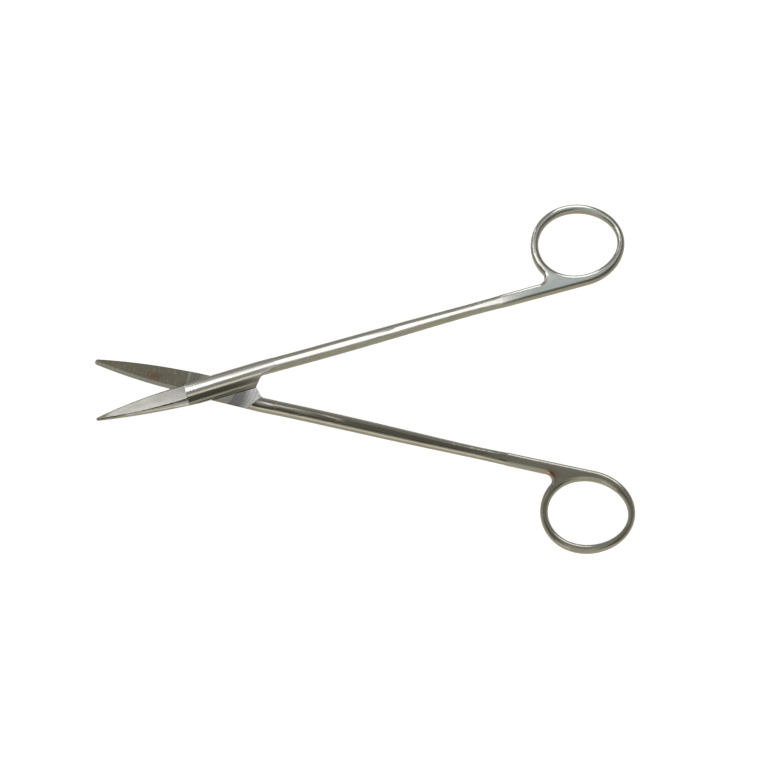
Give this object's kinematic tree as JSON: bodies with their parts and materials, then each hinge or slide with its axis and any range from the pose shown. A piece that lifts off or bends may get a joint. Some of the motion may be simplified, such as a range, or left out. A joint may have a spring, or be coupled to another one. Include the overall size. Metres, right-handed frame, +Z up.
{
  "type": "dissecting scissors",
  "caption": "Long straight dissecting scissors: two crossed steel halves with short blades and oval finger rings, turning on a pivot screw, shown open.",
  "frame": {"origin": "on the pivot axis, level with the outer face of the screw head, which lies on the table", "axes": "+X from the pivot towards the finger rings along the bisector of the open halves, +Y towards the upper half's ring, +Z up along the pivot axis from the screw head to the upper half"},
  "size_m": [0.1722, 0.1158, 0.0046],
  "materials": {
    "upper_half": "polished stainless steel with satin ground blade",
    "lower_half": "polished stainless steel with satin blade",
    "pivot_screw": "polished stainless steel"
  },
  "bodies": {
    "lower_half": {"lower_half": "lower_half"},
    "upper_half": {"upper_half": "upper_half", "pivot_screw": "pivot_screw"}
  },
  "joints": [
    {"name": "pivot", "type": "hinge", "parent": "lower_half", "child": "upper_half", "pos_m": [0, 0, 0], "axis": [0, 0, 1], "range_deg": [-27.5, 50]}
  ]
}
